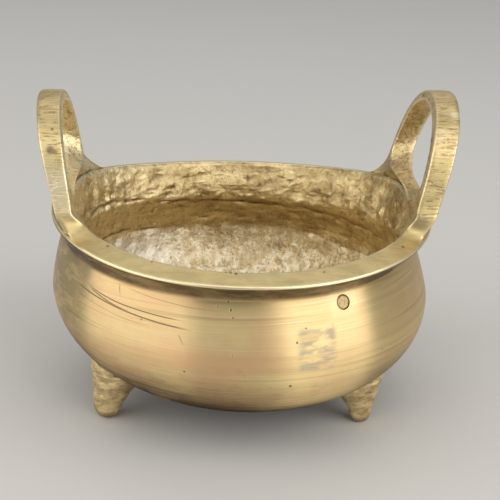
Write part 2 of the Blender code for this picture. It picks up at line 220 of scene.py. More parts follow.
# The finishes, in the order of their slots on the casting
TURNED, FILED, CAST, FOOT = range(4)


def held(value):
    """The value, kept between 0 and 1."""
    return min(1.0, max(0.0, value))


def smoothstep(value):
    value = held(value)
    return value * value * (3 - 2 * value)


def deselect_everything():
    if bpy.context.object and bpy.context.object.mode != "OBJECT":
        bpy.ops.object.mode_set(mode="OBJECT")
    bpy.ops.object.select_all(action="DESELECT")


def take_up(piece):
    """Make one piece the only one selected, and the one that operators act on."""
    deselect_everything()
    piece.select_set(True)
    bpy.context.view_layer.objects.active = piece


def apply_all(piece):
    take_up(piece)
    for modifier in list(piece.modifiers):
        bpy.ops.object.modifier_apply(modifier=modifier.name)


def part_way(first, second, share):
    """The point at a share of the way from one point to another."""
    return tuple(a + (b - a) * share for a, b in zip(first, second))


def face_out(piece, weld=0.0):
    """Weld points that lie closer than a distance, if one is given, and turn all faces out."""
    take_up(piece)
    bpy.ops.object.mode_set(mode="EDIT")
    bpy.ops.mesh.select_all(action="SELECT")
    if weld:
        bpy.ops.mesh.remove_doubles(threshold=weld)
    bpy.ops.mesh.normals_make_consistent(inside=False)
    bpy.ops.object.mode_set(mode="OBJECT")


def give_finishes(piece, chosen):
    """Give a piece the casting's finishes, and each of its faces the chosen one."""
    for slot in SLOTS:
        piece.data.materials.append(slot)
    for face, index in zip(piece.data.polygons, chosen):
        face.material_index = index


# Sections of the bowl, as (radius, height) points


def superellipse_radius(height, widest, top, aim, fullness):
    share = held((top - height) / (top - aim))
    return widest * (1 - share**fullness) ** (1 / fullness)


def superellipse(widest, top, aim, fullness, floor, steps):
    """Points of a bowl's curve from its floor up to its widest ring."""
    points = []
    for i in range(steps + 1):
        angle = math.pi / 2 * (1 - i / steps)
        radius = widest * math.cos(angle) ** (2 / fullness)
        height = top - (top - aim) * math.sin(angle) ** (2 / fullness)
        if height > floor + FLAT_CLEARANCE:
            points.append((radius, height))
    flat = FLAT_SHARE * superellipse_radius(floor, widest, top, aim, fullness)
    return [(flat * i / FLAT_RINGS, floor) for i in range(FLAT_RINGS + 1)] + points


def shoulder_radius(height):
    share = held((height - BELLY_HEIGHT) / (NECK_HEIGHT - BELLY_HEIGHT))
    bulge = (1 - share**SHOULDER_FULLNESS) ** (1 / SHOULDER_FULLNESS)
    return NECK_RADIUS + (BELLY_RADIUS - NECK_RADIUS) * bulge


def belly_height(radius):
    depth = BELLY_HEIGHT - (UNDERSIDE_HEIGHT - UNDERSIDE_SAG)
    share = (1 - min(1.0, radius / BELLY_RADIUS) ** BELLY_FULLNESS) ** (1 / BELLY_FULLNESS)
    return max(UNDERSIDE_HEIGHT, BELLY_HEIGHT - depth * share)


def inside_radius(height):
    """Radius of the hollow at a height, before any relief."""
    if height < BELLY_HEIGHT:
        aim = FLOOR_HEIGHT - FLOOR_SAG
        return superellipse_radius(height, INNER_BELLY_RADIUS, BELLY_HEIGHT, aim, BELLY_FULLNESS)
    if height < THROAT_HEIGHT:
        share = (height - BELLY_HEIGHT) / (THROAT_HEIGHT - BELLY_HEIGHT)
        bulge = math.cos(share * math.pi / 2) ** INNER_SHOULDER_POWER
        return THROAT_RADIUS + (INNER_BELLY_RADIUS - THROAT_RADIUS) * bulge
    share = min(1.0, (height - THROAT_HEIGHT) / (LIP_HEIGHT - THROAT_HEIGHT))
    return THROAT_RADIUS + (LIP_INNER_RADIUS - THROAT_RADIUS) * share**THROAT_POWER


def bowl_section():
    """From the middle of the underside, out over belly, neck, cove and lip, and down the
    inside to the middle of the floor."""
    aim = UNDERSIDE_HEIGHT - UNDERSIDE_SAG
    section = superellipse(
        BELLY_RADIUS, BELLY_HEIGHT, aim, BELLY_FULLNESS, UNDERSIDE_HEIGHT, BELLY_RINGS
    )
    for i in range(1, SHOULDER_RINGS + 1):
        height = BELLY_HEIGHT + (NECK_HEIGHT - BELLY_HEIGHT) * i / SHOULDER_RINGS
        section.append((shoulder_radius(height), height))
    edge = []
    for i in range(EDGE_POINTS):
        angle = math.radians(LIP_EDGE_FROM + LIP_EDGE_TURN * i / (EDGE_POINTS - 1))
        radius = LIP_OUTER_RADIUS - LIP_EDGE_RADIUS * (1 - math.cos(angle))
        edge.append((radius, LIP_EDGE_HEIGHT - LIP_EDGE_RADIUS * (1 - math.sin(angle))))
    cove_radius, cove_height = edge[0]
    for i in range(1, COVE_RINGS):
        angle = math.pi / 2 * (1 - i / COVE_RINGS)
        radius = cove_radius - (cove_radius - NECK_RADIUS) * math.sin(angle)
        height = NECK_HEIGHT + (cove_height - NECK_HEIGHT) * math.cos(angle) ** COVE_POWER
        section.append((radius, height))
    section += edge
    rounded_radius = LIP_INNER_RADIUS + LIP_ROUNDING
    for i in range(1, LIP_TOP_RINGS + 1):
        section.append(part_way(edge[-1], (rounded_radius, LIP_HEIGHT), i / LIP_TOP_RINGS))
    for i in range(1, ROUNDING_RINGS):
        angle = math.pi / 2 * i / ROUNDING_RINGS
        radius = rounded_radius - LIP_ROUNDING * math.sin(angle)
        section.append((radius, LIP_HEIGHT - LIP_ROUNDING * (1 - math.cos(angle))))
    inner_edge = LIP_HEIGHT - LIP_ROUNDING
    for i in range(THROAT_RINGS):
        height = inner_edge - (inner_edge - THROAT_HEIGHT) * i / THROAT_RINGS
        section.append((inside_radius(height), height))
    for i in range(INNER_SHOULDER_RINGS):
        height = THROAT_HEIGHT - (THROAT_HEIGHT - BELLY_HEIGHT) * i / INNER_SHOULDER_RINGS
        section.append((inside_radius(height), height))
    aim = FLOOR_HEIGHT - FLOOR_SAG
    lower = superellipse(
        INNER_BELLY_RADIUS, BELLY_HEIGHT, aim, BELLY_FULLNESS, FLOOR_HEIGHT, INNER_BELLY_RINGS
    )
    section += reversed(lower)
    return section


def spun(name, section, steps):
    """A solid of revolution about Z: a ring of points is laid out as the section, opened
    along the axis and spun."""
    deselect_everything()
    bpy.ops.mesh.primitive_circle_add(vertices=len(section), radius=BELLY_RADIUS)
    piece = bpy.context.object
    piece.name = name
    for vertex, (radius, height) in zip(piece.data.vertices, section):
        vertex.co = (radius, 0.0, height)
    last = len(section) - 1
    for vertex in piece.data.vertices:
        vertex.select = False
    for edge in piece.data.edges:
        edge.select = set(edge.vertices) == {0, last}
    bpy.ops.object.mode_set(mode="EDIT")
    bpy.ops.mesh.select_mode(type="EDGE")
    bpy.ops.mesh.delete(type="EDGE")
    bpy.ops.mesh.select_mode(type="VERT")
    bpy.ops.mesh.select_all(action="SELECT")
    bpy.ops.mesh.spin(steps=steps, angle=2 * math.pi, center=(0, 0, 0), axis=(0, 0, 1))
    bpy.ops.object.mode_set(mode="OBJECT")
    face_out(piece, WELD)
    return piece


# The skin of the casting, inside

# Folds where the core was patched, as (azimuth from the back in degrees, height) points
UPPER_FOLD = [
    (-100, 0.0425), (-74, 0.0434), (-58, 0.0450), (-36, 0.0429), (-24, 0.0414),
    (11, 0.0400), (27, 0.0402), (40, 0.0399), (52, 0.0390), (80, 0.0385),
]
LOWER_FOLD = [
    (-90, 0.0340), (-55, 0.0344), (-42, 0.0342), (-26, 0.0324), (-12, 0.0319),
    (3, 0.0320), (27, 0.0317), (39, 0.0312), (49, 0.0301), (80, 0.0290),
]

# The skin is calmer below one height and coarser above another
CALM_BELOW = 0.0320
COARSE_ABOVE = 0.0405
LUMP_SIZE = 0.0034
LUMP_DEPTH = 0.00070
DRAG_SIZE = 0.006
DRAG_DEPTH = 0.0003
CREASE_SIZE = 0.0045
CREASE_DEPTH = 0.00035
CREASE_WIDTH = 0.07
FOLD_DEPTH = 0.00055
FOLD_WIDTH = 0.0007
FOLD_FADE = 15  # degrees
UPPER_LEDGE = 0.00045
LOWER_LEDGE = 0.0003
NIBBLED_DEPTH = 0.0007  # how far below the lip's top its inner edge is nibbled
NIBBLED_WIDTH = 0.0005
NIBBLE = 0.00012
NIBBLE_MORE = 0.0005
NIBBLE_SIZE = 0.0016
SKIN_MARGIN = 0.0002
INSIDE_MARGIN = 0.0003
UNDERSIDE_MARGIN = 0.002
FLOOR_MIDDLE = 0.004
FLOOR_CURL = 0.006  # height over which the floor turns up into the wall


def fold_at(points, azimuth):
    """The height of a fold at an azimuth, and how much of it there is."""
    for (first, low), (last, high) in zip(points, points[1:]):
        if first <= azimuth <= last:
            share = (azimuth - first) / (last - first)
            from_ends = min(azimuth - points[0][0], points[-1][0] - azimuth)
            return low + (high - low) * share, smoothstep(from_ends / FOLD_FADE)
    return points[0][1], 0.0


def skin_depth(place):
    """How far the inside stands back into the wall at a place: lumps, folds and ledges."""
    azimuth = math.degrees(math.atan2(place.x, place.y))
    low = smoothstep((CALM_BELOW - place.z) / 0.004)
    high = smoothstep((place.z - COARSE_ABOVE) / 0.003)
    high *= smoothstep((LIP_HEIGHT - place.z) / 0.0035)
    lumps = noise.fractal(place / LUMP_SIZE, 0.6, 2.2, 4)
    lumps += 0.6 * abs(noise.noise(place / LUMP_SIZE * 0.6 + Vector((5, 2, 9))))
    drag = noise.noise(Vector((place.x, place.y, place.z * 2.5)) / DRAG_SIZE)
    depth = LUMP_DEPTH * lumps * (0.55 + 0.45 * high - 0.33 * low)
    depth += DRAG_DEPTH * drag * (0.4 + 0.6 * high)
    waver = 0.0009 * noise.noise(place / 0.0040) + 0.0005 * noise.noise(place / 0.0014)
    upright = Vector((place.x, place.y, place.z * 0.35)) / CREASE_SIZE
    crossing = noise.noise(upright + Vector((1, 8, 2))) / CREASE_WIDTH
    depth += CREASE_DEPTH * math.exp(-crossing * crossing) * (1 - 0.5 * low)
    broken = 0.20 + 0.80 * smoothstep(0.5 + 1.6 * noise.noise(place / 0.005 + Vector((3, 1, 7))))
    under_lip = smoothstep((LIP_HEIGHT - 0.001 - place.z) / 0.006)
    for points, ledge in ((UPPER_FOLD, UPPER_LEDGE), (LOWER_FOLD, LOWER_LEDGE)):
        height, share = fold_at(points, azimuth)
        above = (place.z - height - waver) / FOLD_WIDTH
        depth += FOLD_DEPTH * share * broken * math.exp(-above * above)
        depth -= ledge * share * smoothstep(above / 2) * under_lip
    return depth * smoothstep((LIP_HEIGHT - 0.0006 - place.z) / 0.002)


def push_out(place, radius, distance):
    """Move a place that lies at a radius further from the axis."""
    place.x += distance * place.x / radius
    place.y += distance * place.y / radius


def roughen_inside(bowl):
    """Give the inside its cast skin, and let the skin nibble at the lip's filed inner edge."""
    for vertex in bowl.data.vertices:
        radius = math.hypot(vertex.co.x, vertex.co.y)
        height = vertex.co.z
        if height > LIP_HEIGHT - NIBBLED_DEPTH and radius < LIP_INNER_RADIUS + NIBBLED_WIDTH:
            more = max(0.0, noise.noise(vertex.co / NIBBLE_SIZE) - 0.15)
            push_out(vertex.co, radius, NIBBLE + NIBBLE_MORE * more)
            continue
        inside = radius < inside_radius(height) + SKIN_MARGIN and height > FLOOR_HEIGHT - SKIN_MARGIN
        if inside and radius > FLOOR_MIDDLE:
            steep = smoothstep((height - FLOOR_HEIGHT) / FLOOR_CURL)
            depth = skin_depth(vertex.co)
            push_out(vertex.co, radius, depth * steep)
            vertex.co.z -= depth * (1 - steep)


# The sweep of the lip


def lip_rise(azimuth, height):
    """How far the metal at this place is raised where the lip sweeps up to the ears."""
    to_neck = smoothstep((height - BELLY_HEIGHT) / (NECK_HEIGHT - BELLY_HEIGHT))
    to_lip = smoothstep((height - NECK_HEIGHT) / (LIP_EDGE_HEIGHT - NECK_HEIGHT))
    reach = NECK_RISE_SHARE * to_neck + (1 - NECK_RISE_SHARE) * to_lip
    backward = smoothstep((math.sin(azimuth) - BACK_FROM) / (BACK_TO - BACK_FROM))
    sweep = LIP_RISE * abs(math.cos(azimuth)) ** LIP_RISE_POWER
    sweep += backward * (LIP_BACK_LIFT + LIP_BACK_RISE * math.cos(azimuth) ** 2)
    return sweep * reach


def lean(height):
    """How far the bowl stands to the right at this height."""
    under_lip = 1 - smoothstep((height - NECK_HEIGHT) / (LIP_EDGE_HEIGHT - NECK_HEIGHT))
    return BOWL_LEAN * (LEAN_HEIGHT - height) * under_lip


def lip_drawn_in(azimuth):
    return LIP_DRAW_IN * abs(math.cos(azimuth)) ** LIP_DRAW_IN_POWER


def sweep_lip(piece):
    for vertex in piece.data.vertices:
        azimuth = math.atan2(vertex.co.y, vertex.co.x)
        radius = math.hypot(vertex.co.x, vertex.co.y)
        reach = smoothstep((radius - NECK_RADIUS) / (LIP_OUTER_RADIUS - NECK_RADIUS))
        reach *= smoothstep((vertex.co.z - NECK_HEIGHT) / (LIP_EDGE_HEIGHT - NECK_HEIGHT))
        drawn = lip_drawn_in(azimuth) * reach
        vertex.co.x += lean(vertex.co.z) - drawn * math.cos(azimuth)
        vertex.co.y -= drawn * math.sin(azimuth)
        vertex.co.z += lip_rise(azimuth, vertex.co.z)


def finish_of_bowl(place):
    """The finish that the bowl has at a place."""
    inner = inside_radius(place.z) + INSIDE_MARGIN
    if math.hypot(place.x, place.y) < inner and place.z > UNDERSIDE_HEIGHT + UNDERSIDE_MARGIN:
        return CAST
    if place.z > LIP_EDGE_HEIGHT - LIP_EDGE_RADIUS * 1.1:
        return FILED
    return TURNED


def make_bowl():
    bowl = spun("bowl", bowl_section(), BOWL_TURN_STEPS)
    give_finishes(bowl, [finish_of_bowl(face.center) for face in bowl.data.polygons])
    roughen_inside(bowl)
    sweep_lip(bowl)
    return bowl


# The ears


def arch(share):
    spread = 1 - held(share) ** ARCH_RISE_POWER
    return spread ** (1 / ARCH_SPREAD_POWER)


def ear_outline(height, flare):
    """(outer point, opening's point) pairs down one side, from the top to the root's middle."""
    arch_points, flare_points, root_points = 60, 22, 8
    pairs = []
    hole_top = height - EAR_STRAP
    hole_side = EAR_HALF_WIDTH - EAR_STRAP
    corner_top = EAR_HOLE_HEIGHT + EAR_HOLE_CORNER
    for i in range(arch_points):
        share = math.cos(math.pi / 2 * i / (arch_points - 1))
        up = EAR_FLARE_HEIGHT + (height - EAR_FLARE_HEIGHT) * share
        hole_up = corner_top + (hole_top - corner_top) * share
        outer = (EAR_HALF_WIDTH * arch(up / height), up)
        hole = (hole_side * arch(hole_up / hole_top), hole_up)
        pairs.append((outer, hole))
    side = pairs[-1][1][0]
    below = flare_points + root_points
    for i in range(1, below + 1):
        angle = math.pi / 2 * i / below
        hole = (side * math.cos(angle), corner_top - EAR_HOLE_CORNER * math.sin(angle))
        if i <= flare_points:
            turn = math.pi / 2 * i / flare_points
            up = EAR_FLARE_HEIGHT * (1 - math.sin(turn)) - EAR_TOE_SINK * (i / flare_points) ** 2
            outer = (EAR_HALF_WIDTH * arch(up / height) + flare * (1 - math.cos(turn)), up)
        else:
            share = (i - flare_points) / root_points
            outer = ((EAR_HALF_WIDTH + flare) * (1 - share), -EAR_ROOT_DEPTH)
        pairs.append((outer, hole))
    return pairs


def on_ear(ear, side, up, depth):
    """The place on an ear at a distance to the side, a height above the lip and a depth
    from 0 on the inner face to 1 on the outer face."""
    azimuth = side / LIP_OUTER_RADIUS
    root_width = LIP_WIDTH - 2 * EAR_ROOT_INSET - lip_drawn_in(azimuth)
    radius = LIP_INNER_RADIUS + EAR_ROOT_INSET + root_width * depth
    if up < -EAR_ROOT_DEPTH / 2:
        radius = LIP_INNER_RADIUS + LIP_WIDTH * (0.15 + 0.5 * depth)
    rise = lip_rise(azimuth, LIP_HEIGHT)
    lip_top = LIP_HEIGHT - LIP_SLOPE * depth + rise
    on_lip = Vector((radius * math.cos(azimuth), radius * math.sin(azimuth), lip_top + up))
    share = up / ear["height"]
    thickness = ear["root"] + (ear["top"] - ear["root"]) * share
    outer_face = ear["foot"] + (ear["reach"] - ear["foot"]) * share
    sunk = rise * max(0.0, 1 - share)
    upright = Vector((outer_face - (1 - depth) * thickness, side, LIP_HEIGHT + sunk + up))
    return on_lip.lerp(upright, smoothstep(up / EAR_ROUND_BELOW))


def strap_section(splay, crown):
    """The strap's section as (share from opening to outside, depth) points, edges rounded."""
    filed = EAR_EDGE + (EAR_CROWN_EDGE - EAR_EDGE) * crown
    corners = [(1, 1, filed), (1, 0, EAR_EDGE), (splay, 0, EAR_EDGE), (0, 1, EAR_EDGE)]
    rounding_steps = 4
    between_corners = (5, 3, 5, 3)
    arcs = []
    for share, depth, edge in corners:
        inward_share = -1 if share == 1 else 1
        inward_depth = -1 if depth else 1
        arc = []
        for i in range(rounding_steps + 1):
            angle = math.pi / 2 * i / rounding_steps
            along, across = math.sin(angle), math.cos(angle)
            if (share == 1) != (depth == 1):
                along, across = across, along
            rounded = share + inward_share * edge / EAR_STRAP * (1 - along)
            arc.append((rounded, depth + inward_depth * edge / EAR_TOP * (1 - across)))
        arcs.append(arc)
    points = []
    for k, arc in enumerate(arcs):
        points += arc
        following = arcs[(k + 1) % len(arcs)][0]
        steps = between_corners[k] + 1
        points += [part_way(arc[-1], following, i / steps) for i in range(1, steps)]
    return points


def make_ear(name, ear):
    """A ring bent to the ear's arch, with the strap's section all round."""
    front = ear_outline(ear["height"], EAR_FLARE_FRONT)
    back = ear_outline(ear["height"], EAR_FLARE_BACK)
    whole = [((-o[0], o[1]), (-h[0], h[1])) for o, h in front]
    whole += reversed(back[1:-1])
    around = len(strap_section(0.0, 0.0))
    deselect_everything()
    bpy.ops.mesh.primitive_torus_add(
        major_segments=len(whole),
        minor_segments=around,
        major_radius=EAR_HALF_WIDTH,
        minor_radius=EAR_STRAP / 2,
    )
    piece = bpy.context.object
    piece.name = name
    for i, (outer, hole) in enumerate(whole):
        backward = max(0.0, hole[0] / EAR_HALF_WIDTH)
        crown = smoothstep(outer[1] / ear["height"] * 3 - 2)
        section = strap_section(backward * EAR_HOLE_SPLAY / EAR_STRAP, crown)
        for k, (share, depth) in enumerate(section):
            side, up = part_way(hole, outer, share)
            place = on_ear(ear, side, up, depth)
            if k >= FILED_ROUND and up > EAR_HOLE_HEIGHT:
                place += noise.noise_vector(place / EAR_GRAIN) * EAR_ROUGHNESS
            place.x *= ear["direction"]
            piece.data.vertices[i * around + k].co = place
    round_strap = [FILED if k < FILED_ROUND else CAST for k in range(around)]
    give_finishes(piece, round_strap * len(whole))
    face_out(piece)
    return piece


# The feet and the plug


def make_foot(name, tip, degrees, tip_radius, top_radius, inward):
    """A leaning cone with a rounded tip, its top shaped to lie inside the bowl's wall."""
    azimuth = math.radians(degrees)
    tip_rings, cone_rings, top_rings = 8, 40, 10
    section = [(FOOT_TIP_FLAT * i / 2, 0.0) for i in range(2)]
    for i in range(tip_rings + 1):
        angle = math.pi / 2 * (1 - i / tip_rings)
        radius = FOOT_TIP_FLAT + (tip_radius - FOOT_TIP_FLAT) * math.cos(angle)
        section.append((radius, FOOT_TIP_HEIGHT * (1 - math.sin(angle))))
    for i in range(1, cone_rings + 1):
        share = i / cone_rings
        radius = tip_radius + (top_radius - tip_radius) * share
        section.append((radius, FOOT_TIP_HEIGHT + (FOOT_TOP - FOOT_TIP_HEIGHT) * share))
    section += [(top_radius * (1 - i / top_rings), FOOT_TOP) for i in range(1, top_rings + 1)]
    foot = spun(name, section, FOOT_TURN_STEPS)
    for vertex in foot.data.vertices:
        around = (vertex.co.x * FOOT_MARKS_AROUND, vertex.co.y * FOOT_MARKS_AROUND)
        file_marks = FOOT_MARK_DEPTH * noise.noise(Vector((*around, vertex.co.z * FOOT_MARKS_UP)))
        grow = 1 + file_marks / tip_radius * smoothstep(vertex.co.z / FOOT_TIP_HEIGHT)
        risen = max(0.0, vertex.co.z - FOOT_TIP_HEIGHT) / (FOOT_TOP - FOOT_TIP_HEIGHT)
        vertex.co.x = vertex.co.x * grow + (tip - inward * risen) * math.cos(azimuth)
        vertex.co.y = vertex.co.y * grow + (tip - inward * risen) * math.sin(azimuth)
        radius = math.hypot(vertex.co.x - lean(vertex.co.z), vertex.co.y)
        vertex.co.z = min(vertex.co.z, belly_height(radius) + FOOT_BITE)
    give_finishes(foot, [FOOT] * len(foot.data.polygons))
    return foot


def plug_frame():
    """A matrix at the plug's face, its Z axis square to the shoulder and pointing out."""
    step = 0.0002
    rise = shoulder_radius(PLUG_HEIGHT + step) - shoulder_radius(PLUG_HEIGHT - step)
    outward = Vector((math.cos(PLUG_AZIMUTH), math.sin(PLUG_AZIMUTH), 0.0))
    normal = (outward - rise / (2 * step) * Vector((0, 0, 1))).normalized()
    height = PLUG_HEIGHT + lip_rise(PLUG_AZIMUTH, PLUG_HEIGHT)
    place = outward * shoulder_radius(PLUG_HEIGHT) + Vector((lean(PLUG_HEIGHT), 0, height))
    return Matrix.Translation(place) @ normal.to_track_quat("Z", "Y").to_matrix().to_4x4()


def make_recess():
    """The round hole that the plug sits in, as a cutter."""
    radius = PLUG_RADIUS + PLUG_GAP / 5
    depth = PLUG_LENGTH + PLUG_GAP
    section = [(0.0, -depth), (radius, -depth), (radius, RECESS_PROUD), (0.0, RECESS_PROUD)]
    recess = spun("plug_recess", section, PLUG_TURN_STEPS)
    recess.data.transform(plug_frame())
    give_finishes(recess, [CAST] * len(recess.data.polygons))
    return recess


def make_plug():
    """A short pin set flush, its face peened a little and its rim broken."""
    rim = 0.00022
    face_rings = 10
    section = [
        (0.0, -PLUG_LENGTH),
        (PLUG_RADIUS - rim, -PLUG_LENGTH),
        (PLUG_RADIUS, rim - PLUG_LENGTH),
        (PLUG_RADIUS, -rim * 2),
        (PLUG_RADIUS - rim * 0.3, -rim),
        (PLUG_RADIUS - rim, -rim * 0.4),
    ]
    flat = PLUG_RADIUS - rim * 1.6
    section += [(flat * (1 - i / face_rings), 0.0) for i in range(face_rings)]
    section.append((0.0, 0.0))
    plug = spun("plug_pin", section, PLUG_TURN_STEPS)
    sunk, hammered, dents_to_a_metre = 0.00005, 0.00006, 1600
    for vertex in plug.data.vertices:
        if vertex.co.z > -rim * 1.5:
            vertex.co.z -= sunk + hammered * noise.noise(vertex.co * dents_to_a_metre)
    plug.data.transform(plug_frame())
    plug.data.materials.append(pin_finish())
    return plug


# Joining


def join_with(target, other, operation):
    modifier = target.modifiers.new(other.name, "BOOLEAN")
    modifier.operation = operation
    modifier.object = other
    modifier.solver = "MANIFOLD"


def make_casting():
    casting = make_bowl()
    casting.name = "cast_burner"
    others = [make_ear(name, ear) for name, ear in EARS.items()]
    others += [make_foot(name, *foot) for name, foot in FEET.items()]
    for other in others:
        join_with(casting, other, "UNION")
    recess = make_recess()
    join_with(casting, recess, "DIFFERENCE")
    apply_all(casting)
    for other in others + [recess]:
        bpy.data.objects.remove(other)
    face_out(casting, JOINED_WELD)
    blend_toes(casting)
    return casting


def blend_toes(casting):
    """Smooth the metal where each ear's two toes run out into the lip."""
    toes = []
    for direction in (1, -1):
        for toe in (-EAR_HALF_WIDTH - EAR_FLARE_FRONT, EAR_HALF_WIDTH + EAR_FLARE_BACK):
            azimuth = toe / LIP_OUTER_RADIUS
            radius = LIP_OUTER_RADIUS - LIP_WIDTH / 2
            outward = direction * radius * math.cos(azimuth)
            height = LIP_HEIGHT - LIP_SLOPE / 2 + lip_rise(azimuth, LIP_HEIGHT)
            toes.append(Vector((outward, radius * math.sin(azimuth), height)))
    take_up(casting)
    for vertex in casting.data.vertices:
        vertex.select = any(
            (vertex.co - toe).length < TOE_BLEND and vertex.co.z > toe.z - TOE_BLEND_BELOW
            for toe in toes
        )
    for polygon in casting.data.polygons:
        polygon.select = False
    for edge in casting.data.edges:
        edge.select = False
    bpy.ops.object.mode_set(mode="EDIT")
    bpy.ops.mesh.select_mode(type="VERT")
    bpy.ops.mesh.vertices_smooth(factor=0.5, repeat=TOE_SMOOTHINGS)
    bpy.ops.object.mode_set(mode="OBJECT")


def mark_heights(piece):
    """Store the height that each point had before the lip was swept up."""
    level = piece.data.attributes.new("true_height", "FLOAT", "POINT")
    for vertex, stored in zip(piece.data.vertices, level.data):
        azimuth = math.atan2(vertex.co.y, vertex.co.x)
        before = vertex.co.z
        rounds = 4
        for _ in range(rounds):
            before = vertex.co.z - lip_rise(azimuth, before)
        stored.value = before


def read_all(items, name, width, kind=float):
    """One value of every vertex or edge, a row for each."""
    values = np.empty(len(items) * width, dtype=kind)
    items.foreach_get(name, values)
    return values.reshape(-1, width)


def mark_edges(piece):
    """Store how far each point stands out from its neighbours, for the finishes to lighten proud
    points as wear and to darken sunken ones, which on the lip, ears and inside is painted shade.
    """
    mesh = piece.data
    places = read_all(mesh.vertices, "co", 3)
    normals = read_all(mesh.vertices, "normal", 3)
    ends = read_all(mesh.edges, "vertices", 2, int)
    proud = np.zeros(len(places))
    count = np.zeros(len(places))
    for here, there in ((0, 1), (1, 0)):
        away = places[ends[:, there]] - places[ends[:, here]]
        length = np.maximum(np.linalg.norm(away, axis=1), 1e-7)
        fall = -(away * normals[ends[:, here]]).sum(axis=1) / length**2
        np.add.at(proud, ends[:, here], fall)
        np.add.at(count, ends[:, here], 1)
    proud /= np.maximum(count, 1)
    evenings = 2
    for _ in range(evenings):
        total = proud * 2
        share = np.full(len(places), 2.0)
        for here, there in ((0, 1), (1, 0)):
            np.add.at(total, ends[:, here], proud[ends[:, there]])
            np.add.at(share, ends[:, here], 1)
        proud = total / share
    wear_and_hollow_shade = mesh.attributes.new("edge_wear", "FLOAT", "POINT")
    full_wear = 0.0008
    wear_and_hollow_shade.data.foreach_set("value", np.clip(0.5 + proud * full_wear, 0, 1))


def stand_centred(piece):
    """Move a piece to where the ears stand evenly about x = 0, within the solid's box."""
    for vertex in piece.data.vertices:
        vertex.co.x -= SET_OVER
        for axis in range(3):
            vertex.co[axis] = min(max(vertex.co[axis], cad_low[axis]), cad_high[axis])


# Shader building


class Value:
    """A socket on which Python's arithmetic adds Math nodes."""

    def __init__(self, finish, socket):
        self.finish = finish
        self.socket = socket

    def __add__(self, other):
        return self.finish.maths("ADD", self, other)

    def __radd__(self, other):
        return self.finish.maths("ADD", other, self)

    def __sub__(self, other):
        return self.finish.maths("SUBTRACT", self, other)

    def __rsub__(self, other):
        return self.finish.maths("SUBTRACT", other, self)

    def __mul__(self, other):
        return self.finish.maths("MULTIPLY", self, other)

    def __rmul__(self, other):
        return self.finish.maths("MULTIPLY", other, self)

    def __abs__(self):
        return self.finish.maths("ABSOLUTE", self)


